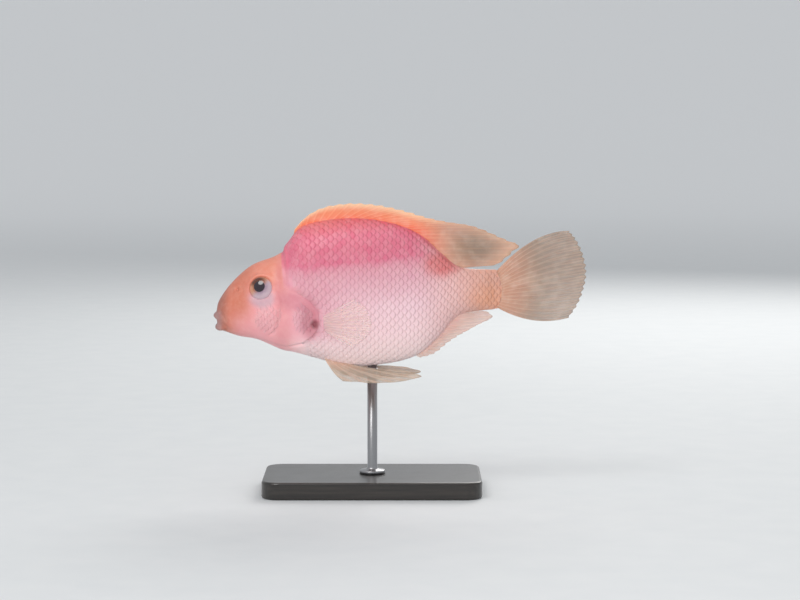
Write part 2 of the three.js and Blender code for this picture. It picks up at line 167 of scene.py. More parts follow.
def finished(name, bm, slot, nodes, material, shadeSmooth=True):
    for face in bm.faces:
        face.smooth = shadeSmooth
    piece = bareObject(name, bm)
    piece.data.materials.append(material)
    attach(piece, "root")
    if nodes:
        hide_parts(*nodes)


def turned(points, steps, close):  # radius and height, spun about the upright axis
    bm = bmesh.new()
    line = [bm.verts.new((r, 0, z)) for r, z in points]
    edges = [bm.edges.new(pair) for pair in zip(line, line[1:])]
    bmesh.ops.spin(bm, geom=line + edges, cent=(0, 0, 0), axis=(0, 0, 1), angle=math.tau,
                   steps=steps, use_merge=True)
    bmesh.ops.remove_doubles(bm, verts=bm.verts, dist=close)
    return bm


def bakedMesh(piece):  # the piece's mesh with its modifiers worked in, as a bmesh
    bpy.context.view_layer.update()
    shown = piece.evaluated_get(bpy.context.evaluated_depsgraph_get())
    bm = bmesh.new()
    bm.from_mesh(shown.to_mesh())
    shown.to_mesh_clear()
    mesh = piece.data
    bpy.data.objects.remove(piece)
    bpy.data.meshes.remove(mesh)
    return bm


# Materials


class Wire:  # one socket, with arithmetic
    def __init__(self, maker, socket):
        self.maker = maker
        self.socket = socket

    def maths(self, operation, a, b=None):
        values = {0: a} if b is None else {0: a, 1: b}
        return self.maker.node("ShaderNodeMath", dict(operation=operation), values)

    def __add__(self, other):
        return self.maths("ADD", self, other)

    def __radd__(self, other):
        return self.maths("ADD", other, self)

    def __sub__(self, other):
        return self.maths("SUBTRACT", self, other)

    def __rsub__(self, other):
        return self.maths("SUBTRACT", other, self)

    def __mul__(self, other):
        return self.maths("MULTIPLY", self, other)

    def __rmul__(self, other):
        return self.maths("MULTIPLY", other, self)

    def __truediv__(self, other):
        return self.maths("DIVIDE", self, other)

    def __pow__(self, other):
        return self.maths("POWER", self, other)

    def size(self):
        return self.maths("ABSOLUTE", self)

    def root(self):
        return self.maths("SQRT", self)

    def sine(self):
        return self.maths("SINE", self)

    def part(self):
        return self.maths("FRACT", self)

    def atLeast(self, other):
        return self.maths("MAXIMUM", self, other)

    def step(self, low, high):  # 0 below low, 1 above high, smooth between
        flip = low > high
        if flip:
            low, high = high, low
        values = {"Value": self, "From Min": low, "From Max": high,
                  "To Min": 1.0 if flip else 0.0, "To Max": 0.0 if flip else 1.0}
        return self.maker.node("ShaderNodeMapRange", dict(interpolation_type="SMOOTHSTEP"), values)


class Finish:  # a material built on one Principled shader
    def __init__(self, name, **constants):
        self.material = bpy.data.materials.new(name)
        self.material.use_nodes = True
        self.tree = self.material.node_tree
        self.shader = self.tree.nodes["Principled BSDF"]
        for socket, value in constants.items():
            self.shader.inputs[socket.replace("_", " ")].default_value = value

    def node(self, kind, settings=None, inputs=None, output=0):
        made = self.tree.nodes.new(kind)
        for key, value in (settings or {}).items():
            if key == "stops":
                ramp = made.color_ramp
                while len(ramp.elements) < len(value):
                    ramp.elements.new(0.5)
                for element, (at, colour) in zip(ramp.elements, value):
                    element.position = at
                    element.color = colour
            else:
                setattr(made, key, value)
        for key, value in (inputs or {}).items():
            if isinstance(value, Wire):
                self.tree.links.new(value.socket, made.inputs[key])
            else:
                made.inputs[key].default_value = value
        return Wire(self, made.outputs[output])

    def join(self, **wires):
        for socket, wire in wires.items():
            self.tree.links.new(wire.socket, self.shader.inputs[socket.replace("_", " ")])

    def parts(self, wire):  # the three numbers of a vector
        split = self.node("ShaderNodeSeparateXYZ", inputs={0: wire})
        return [Wire(self, out) for out in split.socket.node.outputs]

    def coords(self):
        return self.node("ShaderNodeTexCoord", output="Object")

    def stretched(self, *scale):
        values = {"Vector": self.coords(), "Scale": scale}
        return self.node("ShaderNodeMapping", inputs=values)

    def place(self):  # the fish's own along, across and up, in millimetres
        coords = self.coords()
        x, y, z = self.parts(coords)
        return coords, x * 1000 - placing["forward"], y * 1000, z * 1000 - placing["height"]

    def blend(self, share, a, b):
        values = {0: share, 6: a, 7: b}
        return self.node("ShaderNodeMix", dict(data_type="RGBA"), values, output=2)

    def over(self, tone, *coats):  # coats of colour, one over another, each with its share
        for share, colour in coats:
            tone = self.blend(share, tone, colour)
        return tone

    def noise(self, coords, scale, detail=3.0, rough=0.5):
        values = {"Vector": coords, "Scale": scale, "Detail": detail, "Roughness": rough}
        return self.node("ShaderNodeTexNoise", inputs=values)

    def attribute(self, name):
        return self.node("ShaderNodeAttribute", dict(attribute_name=name), output="Fac")

    def bump(self, height, strength, distance):
        values = {"Height": height, "Strength": strength, "Distance": distance}
        return self.node("ShaderNodeBump", inputs=values)


def paint(r, g, b, alpha=1.0):  # a colour as a painter reads it, 0 to 255
    def linear(c):
        c /= 255
        return c / 12.92 if c <= 0.04045 else ((c + 0.055) / 1.055) ** 2.4
    return (linear(r), linear(g), linear(b), alpha)


def patch(along, up, x, z, reach, rise, soft=0.5):  # 1 inside an oval of the side view, 0 outside
    far = (((along - x) / reach) ** 2 + ((up - z) / rise) ** 2).root()
    return far.step(1 + soft, 1 - soft)


# Colours of the living skin, with painted shade in its creases and hollows and a painted reflection
# under the eye, from the back down and from the lips to the tail
skinColours = dict(
    trunk=[(-33, paint(252, 222, 218)), (-22, paint(246, 208, 211)), (-12, paint(236, 194, 202)),
           (-5, paint(226, 172, 183)), (0, paint(220, 157, 170)), (4, paint(218, 146, 160)),
           (6.2, paint(215, 127, 146)), (7.8, paint(214, 106, 131)), (13, paint(215, 102, 126)),
           (18, paint(226, 108, 132)), (22, paint(229, 104, 118)), (26, paint(234, 112, 104))],
    forehead=paint(217, 134, 113),
    snout=paint(198, 116, 94),
    muzzle=paint(158, 99, 86),
    cheek=paint(233, 162, 167),
    # painted reflection under the eye
    underEyeReflection=paint(192, 158, 168),
    front=paint(218, 148, 162),
    gillShade=paint(192, 116, 128),
    gillSpot=paint(122, 44, 58),
    # painted shade for the creases at the hump's foot and behind the cheek
    humpFoot=paint(204, 128, 130),
    nape=paint(224, 138, 122),
    rear=paint(234, 182, 176),
    stalk=paint(212, 152, 132),
    stalkPatch=paint(224, 152, 118),
    rearSpot=paint(214, 96, 96),
    lips=paint(160, 121, 118),
    # painted shade inside the open mouth
    mouth=paint(96, 42, 44),
    scaleRim=paint(206, 112, 118),
    scalePale=paint(250, 224, 222),
    mottle=paint(250, 224, 214),
    # painted shade along the foot of the dorsal fin
    backLine=paint(222, 92, 112),
)


def fleshColour(finish, coords, along, across, up):
    c = skinColours

    def spot(*place):
        return patch(along, up, *place)

    drift = up - (along + 38).atLeast(0.0) * 0.1
    wobble = (finish.noise(coords, 140.0, 2.0) - 0.5) * 2.4
    low, high = c["trunk"][0][0], c["trunk"][-1][0]
    stops = [((z - low) / (high - low), colour) for z, colour in c["trunk"]]
    ramp = finish.node("ShaderNodeValToRGB", dict(stops=stops),
                       {0: (drift + wobble - low) / (high - low)})
    behindGill = along.step(-20, -34) * up.step(5, 0) * up.step(-25, -17)
    # painted shade just under the back line, where the dorsal fin meets the body
    underDorsalShade = finish.attribute("belowBack").step(3.6, 0.8) * along.step(-34, -20) * along.step(22, 8)
    tone = finish.over(
        ramp, (behindGill * 0.85, c["front"]),
        # the warm rear, the stalk and the deep spot behind the dorsal fin
        (along.step(4, 22) * 0.8, c["rear"]), (along.step(16, 36), c["stalk"]),
        (spot(37, -5.6, 8, 4.5, 0.9) * 0.75, c["stalkPatch"]),
        (spot(16.5, 8.2, 6.5, 4.5, 0.6) * 0.85, c["rearSpot"]),
        # painted shade at the dorsal fin's foot
        (underDorsalShade * 0.5, c["backLine"]))
    # the head, cut off sharply from the hump
    crease = along + (up - 4) * 0.1 + wobble * 0.15
    onHead = crease.step(-46.8, -47.8) * up.step(-3, 1)
    lowHead = along.step(-36, -50) * up.step(1, -3)
    head = finish.over(
        finish.blend(up.step(-6, 4), c["cheek"], c["forehead"]),
        (along.step(-52, -48) * up.step(2, 8) * 0.8, c["nape"]),
        (along.step(-55, -64.5), c["snout"]),
        (along.step(-72, -62) * up.step(-7, -18) * 0.75, c["cheek"]),
        (along.step(-68, -72.5) * 0.85, c["muzzle"]),
        # painted reflection spreading under the eye
        (spot(-55.2, -4.9, 5.0, 3.8, 0.4) * 0.85, c["underEyeReflection"]))
    gillEdge = spot(-36.2, -13, 3.6, 7.4, 0.45) * along.step(-31.4, -32.8)
    lips = along.step(-71.0, -73.4) * up.step(-9.5, -12)
    # where the painted shade inside the mouth falls
    inside = patch(across, up, 0.0, -15.1, 3.7, 1.35, 0.2) * along.step(-69.8, -71.4)
    return finish.over(
        tone, (onHead + lowHead, head),
        # painted shade in the creases at the hump's foot and behind the cheek, over the gill cover
        # and along its edge, and a small dark spot
        (spot(-47.9, 0.5, 2.6, 9, 0.6) * 0.6, c["humpFoot"]),
        (spot(-47.2, -13, 3.2, 12, 0.6) * 0.4, c["humpFoot"]),
        (spot(-42, -5.6, 6.5, 4, 0.5) * 0.6, c["gillShade"]),
        (gillEdge * 0.9, c["gillShade"]),
        (spot(-34.4, -15, 1.5, 1.7, 0.55) * 0.9, c["gillSpot"]),
        # the lips, and painted shade in the open mouth between them
        (lips * 0.9, c["lips"]), (inside, c["mouth"]))


def skinFinish(name, onScales):
    finish = Finish(name, Roughness=0.42, Specular_IOR_Level=0.38, Subsurface_Weight=0.14,
                    Subsurface_Scale=0.002, Subsurface_Radius=(1.0, 0.45, 0.35),
                    Coat_Weight=0.16, Coat_Roughness=0.2)
    coords, along, across, up = finish.place()
    tone = fleshColour(finish, coords, along, across, up)
    mottle = finish.noise(coords, 420.0, 4.0, 0.6)
    if onScales:
        tone = finish.over(tone, (finish.attribute("rim") * 0.07, skinColours["scaleRim"]),
                           (finish.attribute("pale") * 0.08, skinColours["scalePale"]))
    shade = finish.blend(mottle.step(0.35, 0.75) * 0.08, tone, skinColours["mottle"])
    fine = finish.noise(coords, 2600.0, 3.0)
    soft = finish.noise(coords, 700.0, 2.0)
    finish.join(Base_Color=shade, Roughness=0.36 + mottle * 0.18,
                Normal=finish.bump(fine * 0.6 + soft * 0.6, 0.2, 0.0002))
    return finish.material


# Camera, light and floor

viewing = dict(distance=0.95, elevation=5, centre=(0.0112, 0, 0.0775), fieldWidth=0.3226)


def makeCamera():
    data = bpy.data.cameras.new("photoCamera")
    data.sensor_width = 36
    data.lens = 36 * viewing["distance"] / viewing["fieldWidth"]
    data.clip_start = 0.01
    camera = bpy.data.objects.new("photoCamera", data)
    lift = math.radians(viewing["elevation"])
    away = Vector((0, -math.cos(lift), math.sin(lift)))
    camera.location = Vector(viewing["centre"]) + away * viewing["distance"]
    camera.rotation_mode = "QUATERNION"
    camera.rotation_quaternion = (-away).to_track_quat("-Z", "Y")
    bpy.context.collection.objects.link(camera)
    bpy.context.scene.camera = camera


lights = [  # soft round lamps, all aimed at the fish
    dict(name="softTop", at=(-0.35, -0.5, 0.85), size=0.45, power=2.7, spread=180,
         colour=(1.0, 0.985, 0.96), gloss=True),
    dict(name="front", at=(0.05, -1.4, 0.32), size=0.56, power=2.72, spread=120,
         colour=(1.0, 1.0, 1.0), gloss=False),
    dict(name="lowFill", at=(0.0, -0.8, 0.1), size=0.18, power=0.46, spread=120,
         colour=(1.0, 0.98, 0.97), gloss=False),
    dict(name="behind", at=(0.3, 0.8, 0.6), size=0.6, power=4.0, spread=180,
         colour=(1.0, 0.98, 0.95), gloss=True),
]
lampAim = (0, 0, 0.07)
backdrop = dict(colour=paint(244, 247, 250), strength=0.6)


def makeLights():
    for light in lights:
        data = bpy.data.lights.new(light["name"], "AREA")
        data.shape = "DISK"
        data.size = light["size"]
        data.energy = light["power"]
        data.spread = math.radians(light["spread"])  # narrow ones keep the floor under them quiet
        data.color = light["colour"]
        lamp = bpy.data.objects.new(light["name"], data)
        lamp.location = light["at"]
        lamp.visible_camera = False
        lamp.visible_glossy = light["gloss"]
        aim = Vector(lampAim) - lamp.location
        lamp.rotation_mode = "QUATERNION"
        lamp.rotation_quaternion = aim.to_track_quat("-Z", "Y")
        bpy.context.collection.objects.link(lamp)
    world = bpy.data.worlds.new("studio")
    world.use_nodes = True
    background = world.node_tree.nodes["Background"]
    background.inputs["Color"].default_value = backdrop["colour"]
    background.inputs["Strength"].default_value = backdrop["strength"]
    bpy.context.scene.world = world
    bpy.context.scene.view_settings.view_transform = "Standard"


floorShape = dict(
    flat=2.2,  # metres from the middle to the foot of the sweep
    sweep=1.6,
    rise=64,
    steps=16,
    near=(paint(212, 215, 217), paint(220, 222, 223)),
    # painted light: the floor and wall paler far out, where the lamps' light falls off
    far=paint(250, 251, 252),
    paintedLightReach=(0.6, 2.6),
)


def makeFloor():  # a round floor that sweeps up into a low wall, the same from every side
    s = floorShape
    points = [(0, 0)]
    for i in range(s["steps"] + 1):
        turn = math.radians(s["rise"] * i / s["steps"])
        points.append((s["flat"] + s["sweep"] * math.sin(turn), s["sweep"] * (1 - math.cos(turn))))
    bm = turned(points, 96, 0.0001)
    for face in bm.faces:
        face.smooth = True
    floor = bareObject("studioFloor", bm)
    finish = Finish("paleFloor", Roughness=0.75)
    coords = finish.coords()
    near = finish.blend(finish.noise(coords, 60.0, 4.0), *s["near"])
    x, y, _ = finish.parts(coords)
    far = (x ** 2 + y ** 2).root()
    # painted light, the floor paler with distance from the middle
    finish.join(Base_Color=finish.blend(far.step(*s["paintedLightReach"]), near, s["far"]))
    floor.data.materials.append(finish.material)


makeCamera()
makeLights()
makeFloor()
print("camera, lights and floor")

# Skin

eyeShape = dict(
    at=(-56, -0.8), radius=5.1, depth=3.0, sunk=1.4,
    closing=0.25,  # how far the skin closes in on the eyeball's edge
    ridge=0.8, ridgeOut=0.15, ridgeSunk=0.62,
    pupil=2.25, ahead=0.15, above=0.35, mapWidth=12,
)
lipShape = dict(
    upper=[(-71.6, 4.8, -15.9), (-73.5, 3.0, -13.5), (-74.5, 0, -12.6)],
    lower=[(-71.1, 4.6, -17.9), (-72.9, 2.8, -17.7), (-73.9, 0, -17.3)],
    thick=1.25, thinnest=0.25, steps=40, sides=14,
)
mouthShape = dict(at=(-75, 0, -15), reach=(5.2, 3.4, 1.15), tilt=-20)
creases = [  # side-view lines pressed into the skin
    dict(line=[(-48.8, 16.5), (-47.3, 11), (-46.4, 6), (-45.9, 1), (-44.2, -2.6)],
         depth=0.5, width=0.9),
    dict(line=[(-50.2, -1.8), (-48.0, -7), (-48.4, -13.5), (-50.8, -18.6), (-55.5, -21.4)],
         depth=0.32, width=0.55),
    dict(line=[(-71.3, -15.6), (-69.9, -17.2), (-69.3, -19.2)], depth=0.3, width=0.5),
    dict(line=[(-73.4, -10.4), (-71.0, -12.8), (-69.6, -16.2)], depth=0.28, width=0.5),
    dict(line=[(-39.6, -23.6), (-46, -25.3), (-54, -23.2), (-60, -21.8)], depth=0.3, width=0.5),
]
humpCrease = creases[0]
gill = dict(at=(-46.3, -13.3), reach=(13.5, 10.9), rise=0.7, groove=0.35, front=-47)
cheekMuscle = dict(at=(-53.5, -12.5), reach=(4.5, 5.0), rise=0.35)
eyeRim = dict(radius=6.4, width=0.7, rise=0.18)
nostril = dict(at=(-65.6, -1.6), rim=1.15, rimWidth=0.35, rise=0.2, hole=0.6, depth=0.9)

scaleShape = dict(
    round=1.72, root=1.9, columnStep=1.62, rowStep=3.24,
    headRound=1.4, headRoot=1.6, headColumnStep=1.32, headRowStep=2.64,
    thick=0.045, rootDepth=0.11, tipLift=0.065, depth=0.16,
    crown=0.03,  # how far a plate falls off to its sides
    pore=0.1, lean=0.05, spread=(0.96, 1.05), seed=7,
    lengthwise=4, crosswise=6,  # the grid of one plate
    patchLong=0.003, patchWide=0.0015,  # its place on the OFBake map
    edgeGap=1.4, humpGap=1.6, tailGap=1.5, eyeGap=7.2,  # how far the coat keeps from each
    throat=(-38.5, -2),
    cheek=dict(at=(-54.2, -13.2), reach=(7.4, 8.0)),
    cover=dict(at=(-39.5, -13), reach=(8, 10), share=0.8),
)


def rawBody():
    bm = bmesh.new()
    s = bodyShape
    bmesh.ops.create_uvsphere(bm, u_segments=s["around"], v_segments=s["rings"], radius=1)
    for v in bm.verts:
        share = math.acos(min(max(v.co.z, -1), 1)) / math.pi
        v.co = skinAt(share, math.atan2(v.co.x, v.co.y))
    bmesh.ops.recalc_face_normals(bm, faces=bm.faces)
    return bm


def flankPlace(tree, x, z, side):  # where the flank is met from the side, and its normal
    spot, normal, _, _ = tree.ray_cast(Vector((x, side * 60, z)), Vector((0, -side, 0)))
    return spot, normal if normal.y * side > 0 else -normal


def setOn(bm, verts, spot, normal, sunk):  # turns what stands on z to stand on the normal
    turn = Vector((0, 0, 1)).rotation_difference(normal).to_matrix().to_4x4()
    bmesh.ops.transform(bm, matrix=Matrix.Translation(spot - normal * sunk) @ turn, verts=verts)


def lipTube(bm, points):
    s = lipShape
    ends = [Vector((x, -y, z)) for x, y, z in points] + [Vector(p) for p in reversed(points[:-1])]
    ringsMade = []
    for i in range(s["steps"] + 1):
        t = i / s["steps"]
        centre = curveAt(ends, t)
        ahead = (curveAt(ends, min(t + 0.01, 1)) - curveAt(ends, max(t - 0.01, 0))).normalized()
        radius = max(s["thick"] * math.sin(math.pi * t) ** 0.4, s["thinnest"])
        ring = bmesh.ops.create_circle(bm, segments=s["sides"], radius=radius)
        setOn(bm, ring["verts"], centre, ahead, 0)
        ringsMade.append(ring["verts"])
    for a, b in zip(ringsMade, ringsMade[1:]):
        edges = [e for r in (a, b) for v in r for e in v.link_edges
                 if e.verts[0] in r and e.verts[1] in r]
        bmesh.ops.bridge_loops(bm, edges=list(set(edges)))
    for ring in (ringsMade[0], ringsMade[-1]):
        bmesh.ops.contextual_create(bm, geom=ring)


def onLine(line, x, z):  # distance from a broken line, and how far along it that is, from 0 to 1
    best, place = 1e9, 0
    for i, ((ax, az), (bx, bz)) in enumerate(zip(line, line[1:])):
        dx, dz = bx - ax, bz - az
        t = min(max(((x - ax) * dx + (z - az) * dz) / (dx * dx + dz * dz), 0), 1)
        d = math.hypot(x - ax - t * dx, z - az - t * dz)
        if d < best:
            best, place = d, (i + t) / (len(line) - 1)
    return best, place


def ovalFar(x, z, oval, grow=0):  # 1 on an oval's edge, less inside it
    (cx, cz), (reachX, reachZ) = oval["at"], oval["reach"]
    return math.hypot((x - cx) / (reachX + grow), (z - cz) / (reachZ + grow))


def relief(p):  # how far the skin stands out or in at a point, in millimetres
    x, y, z = p
    out = -scaleShape["depth"] * smooth(x, -48, -44) * (1 - smooth(x, 36, 40))  # under the scales
    if x > -28:
        return out
    flank = smooth(abs(y), 2.0, 5.0)  # the middle of the belly and of the forehead stays plain
    far = ovalFar(x, z, gill)
    out += gill["rise"] * smooth(x, gill["front"], -34) * (1 - smooth(far, 0.985, 1.03)) * flank
    out -= gill["groove"] * smooth(x, -46, -40) * bell(far, 1.06, 0.03) * flank
    for crease in creases:
        line = crease["line"]
        if min(abs(x - line[0][0]), abs(x - line[-1][0])) >= 14:
            continue
        far, place = onLine(line, x, z)
        fade = smooth(place, 1.0, 0.75) if place > 0.7 else 1
        reach = 1 if crease is humpCrease else flank
        out -= crease["depth"] * bell(far, 0, crease["width"]) * fade * reach
    (cx, cz), (wideX, wideZ) = cheekMuscle["at"], cheekMuscle["reach"]
    out += cheekMuscle["rise"] * bell(x, cx, wideX) * bell(z, cz, wideZ) * flank
    far = math.dist((x, z), eyeShape["at"])
    out += eyeRim["rise"] * bell(far, eyeRim["radius"], eyeRim["width"]) * flank
    nose = math.dist((x, z), nostril["at"])
    out += (nostril["rise"] * bell(nose, nostril["rim"], nostril["rimWidth"])
            - nostril["depth"] * bell(nose, 0, nostril["hole"])) * flank
    return out


def addTo(body, extra):  # works one closed shape into another's mesh
    bmesh.ops.recalc_face_normals(extra, faces=extra.faces)
    joined = bpy.data.meshes.new("joined")
    extra.to_mesh(joined)
    extra.free()
    body.from_mesh(joined)
    bpy.data.meshes.remove(joined)


def evened(piece):  # the modifier that turns a piece into one even closed surface
    remesh = piece.modifiers.new("even", "REMESH")
    remesh.mode = "VOXEL"
    remesh.voxel_size = bodyShape["grain"]


def smoothOver(bm, factor):
    bmesh.ops.smooth_vert(bm, verts=bm.verts, factor=factor,
                          use_axis_x=True, use_axis_y=True, use_axis_z=True)


def makeSkin():
    body = rawBody()
    tree = BVHTree.FromBMesh(body)
    places = {side: flankPlace(tree, *eyeShape["at"], side) for side in (-1, 1)}
    for spot, normal in places.values():  # a soft ridge round each eye
        rim = bmesh.new()
        ring = bmesh.ops.create_circle(rim, segments=12, radius=eyeShape["ridge"])
        out = Matrix.Translation((eyeShape["radius"] + eyeShape["ridgeOut"], 0, 0))
        upright = Matrix.Rotation(math.pi / 2, 4, "X")
        bmesh.ops.transform(rim, verts=ring["verts"], matrix=out @ upright)
        bmesh.ops.spin(rim, geom=rim.verts[:] + rim.edges[:], cent=(0, 0, 0), axis=(0, 0, 1),
                       angle=math.tau, steps=48, use_merge=True)
        setOn(rim, rim.verts, spot, normal, eyeShape["ridgeSunk"])
        addTo(body, rim)
    for points in (lipShape["upper"], lipShape["lower"]):
        lip = bmesh.new()
        lipTube(lip, points)
        addTo(body, lip)
    solid = bareObject("skinSolid", body)
    evened(solid)
    whole = bareObject("skinWhole", bakedMesh(solid))

    cutters = bmesh.new()
    reach = eyeShape["radius"] - eyeShape["closing"]
    for spot, normal in places.values():
        made = bmesh.ops.create_uvsphere(cutters, u_segments=40, v_segments=24, radius=1)
        bmesh.ops.scale(cutters, vec=(reach, reach, eyeShape["depth"]), verts=made["verts"])
        setOn(cutters, made["verts"], spot, normal, eyeShape["sunk"])
    made = bmesh.ops.create_uvsphere(cutters, u_segments=32, v_segments=20, radius=1)
    bmesh.ops.scale(cutters, vec=mouthShape["reach"], verts=made["verts"])
    tilt = Matrix.Rotation(math.radians(mouthShape["tilt"]), 3, "Y")
    bmesh.ops.rotate(cutters, cent=(0, 0, 0), matrix=tilt, verts=made["verts"])
    bmesh.ops.translate(cutters, vec=mouthShape["at"], verts=made["verts"])
    cutter = bareObject("cutter", cutters)
    cut = whole.modifiers.new("cut", "BOOLEAN")
    cut.operation = "DIFFERENCE"
    cut.object = cutter
    cut.solver = "EXACT"
    evened(whole)
    skin = bakedMesh(whole)
    bpy.data.objects.remove(cutter)
    for _ in range(4):
        smoothOver(skin, 0.5)
    skin.normal_update()
    moves = [(v, v.normal * relief(v.co)) for v in skin.verts]
    for v, move in moves:
        v.co += move
    smoothOver(skin, 0.3)
    skin.normal_update()
    print("skin:", len(skin.faces), "faces")
    return skin, places


def markBelowBack(bm):  # how far under the back line each point lies, for the colour there
    layer = bm.verts.layers.float.new("belowBack")
    start, step, count = -75, 0.5, 235
    backs = [linePoint("back", start + i * step).y for i in range(count)]
    for v in bm.verts:
        i = min(max(int((v.co.x - start) / step), 0), count - 1)
        v[layer] = max(backs[i] - v.co.z, 0)


skin, eyePlaces = makeSkin()
skinTree = BVHTree.FromBMesh(skin)
markBelowBack(skin)
settle(skin)
fleshNodes = ["head", "upper_lip", "lower_lip", "gill_cover_left", "gill_cover_right", "trunk",
              "tail_stalk"]
finished("fishSkin", skin, "skin_body", fleshNodes, skinFinish("livingSkin", onScales=False))
print("skin done")

# Scales

flankGrid = dict(lengthwise=150, around=40, start=0.03, span=0.955)


def makeSurfaceMap():  # the flank unrolled: length along the waist, arc length up or down from it
    s = flankGrid
    rows = []
    for i in range(s["lengthwise"] + 1):
        share = s["start"] + s["span"] * i / s["lengthwise"]
        rows.append([skinAt(share, math.pi * k / s["around"]) for k in range(s["around"] + 1)])
    mid = s["around"] // 2
    along = [0]
    for a, b in zip(rows, rows[1:]):
        along.append(along[-1] + (b[mid] - a[mid]).length)
    arcs = []
    for row in rows:
        arc = [0]
        for a, b in zip(row, row[1:]):
            arc.append(arc[-1] + (b - a).length)
        arcs.append([arc[mid] - value for value in arc])  # positive towards the back
    return dict(rows=rows, along=along, arcs=arcs)


flankMap = makeSurfaceMap()


def onMap(a, c):  # the point at length a along the waist and arc c above it
    lengths, arcs, around = flankMap["along"], flankMap["arcs"], flankGrid["around"]
    low, high = bracket(flankGrid["lengthwise"], lambda i: lengths[i] <= a)
    w = (a - lengths[low]) / (lengths[high] - lengths[low])
    found = []
    for i in (low, high):
        arc, row = arcs[i], flankMap["rows"][i]
        k0, k1 = bracket(around, lambda k: arc[k] >= c)
        v = min(max((arc[k0] - c) / (arc[k0] - arc[k1]), 0), 1)
        found.append((row[k0].lerp(row[k1], v), (k0 + v) / around))
    point = found[0][0].lerp(found[1][0], w)
    top = mix(arcs[low][0], arcs[high][0], w)
    bottom = mix(arcs[low][-1], arcs[high][-1], w)
    turnShare = mix(found[0][1], found[1][1], w)
    return point, turnShare, (low + w) / flankGrid["lengthwise"], top, bottom


def inGill(x, z, grow):
    return ovalFar(x, z, gill, grow) < 1 and x > gill["front"]


def addScale(bm, layers, place, side, size, lift, draws, pore=0.0, rim=1.0):
    s = scaleShape
    (a0, c0), (radius, root) = place, size
    rimLayer, paleLayer, uvLayer = layers
    made = bmesh.ops.create_grid(bm, x_segments=s["lengthwise"], y_segments=s["crosswise"], size=1)
    _, turnShare, share, _, _ = onMap(a0, c0)
    lean = draws.uniform(-s["lean"], s["lean"])
    radius *= draws.uniform(*s["spread"])
    shade = draws.random()
    local = {}
    for v in made["verts"]:
        p, q = (v.co.x + 1) / 2, v.co.y
        bend = q * math.pi / 2
        along = p * (root + radius * math.cos(bend)) - root  # a straight root and a half-round tip
        across = radius * math.sin(bend) * mix(0.7, 1, smooth(p, 0, 0.5))
        local[v] = (p, q)
        point = onMap(a0 + along, c0 + across + lean * along)[0]
        point.y = abs(point.y) * side
        spot, normal, _, _ = skinTree.find_nearest(point)
        raised = mix(-s["rootDepth"], lift, p ** 0.8) - s["crown"] * q * q
        v.co = spot + normal * (raised + pore * bell(q, 0, 0.3) * smooth(p, 0.3, 0.6))
        v[rimLayer] = smooth(p, 0.72, 1.0) * rim
        v[paleLayer] = shade
    turnPlace = turnShare / 2 + (0.5 if side > 0 else 0)
    for f in set(f for v in made["verts"] for f in v.link_faces):
        for loop in f.loops:
            p, q = local[loop.vert]
            loop[uvLayer].uv = (share + (p - 0.5) * s["patchLong"], turnPlace + q * s["patchWide"])


def humpFoot(z):  # how far forward the hump reaches at a height
    line = humpCrease["line"]
    for (x0, z0), (x1, z1) in zip(line, line[1:]):
        if z >= z1:
            return mix(x1, x0, min((z - z1) / (z0 - z1), 1))
    return line[-1][0]


def onSensorLine(x, z):  # the broken line of pores along the flank
    reach = scaleShape["rowStep"] / 2
    high = 9.5 - 0.004 * (x + 10) ** 2
    return (x < 14 and abs(z - high) < reach) or (x > 4 and abs(z + 2.4) < reach)


def platePlaces(start, end, rows, columnStep, rowStep):  # every other column half a row up
    column, a = 0, start
    while a < end:
        for row in rows:
            c = (row + 0.5 * (column % 2)) * rowStep
            yield a, c, onMap(a, c)
        column += 1
        a += columnStep * mix(1, 0.8, smooth(a, 85, 108))  # closer together towards the tail


def flankScales(bm, layers, side, draws):
    s = scaleShape
    count = 0
    end = flankMap["along"][-1] - s["tailGap"]
    for a, c, found in platePlaces(0.0, end, range(-15, 16), s["columnStep"], s["rowStep"]):
        point, _, _, top, bottom = found
        x, z = point.x, point.z
        behind = x - humpFoot(z)
        if c > top - s["edgeGap"] or c < bottom + s["edgeGap"] or behind < s["humpGap"]:
            continue
        if inGill(x, z, 1.2) or (x < s["throat"][0] and z < s["throat"][1]):
            continue
        slim, near = smooth(x, 10, 34), smooth(behind, 1, 6)
        root = s["root"] * (mix(1, 0.8, slim) * mix(0.55, 1, near))
        lift = s["tipLift"] * mix(0.3, 1, near) * mix(1, -0.2, smooth(x, 33, 40.5))
        pore = s["pore"] if onSensorLine(x, z) else 0.0
        size = (s["round"] * mix(1, 0.94, slim), root)
        addScale(bm, layers, (a, c), side, size, lift, draws, pore)
        count += 1
    return count


def faceScales(bm, layers, side, draws):  # smaller ones on the cheek and the gill cover
    s = scaleShape
    count = 0
    size = (s["headRound"], s["headRoot"])
    for a, c, found in platePlaces(6.0, 46, range(-14, 6), s["headColumnStep"], s["headRowStep"]):
        x, z = found[0].x, found[0].z
        inCheek = 1 - ovalFar(x, z, s["cheek"])
        inCover = s["cover"]["share"] - ovalFar(x, z, s["cover"])
        onCover = inGill(x, z, -1.6) and x > -45.0 and z < -3.4
        nearEye = math.dist((x, z), eyeShape["at"]) < s["eyeGap"]
        if nearEye or (inCheek < 0 and not onCover):
            continue
        lift = mix(-0.09, 0.03, min(1, max(0, inCheek * 1.5, inCover * 2.0)))  # lost at the edges
        addScale(bm, layers, (a, c), side, size, lift, draws, rim=0.3)
        count += 1
    return count


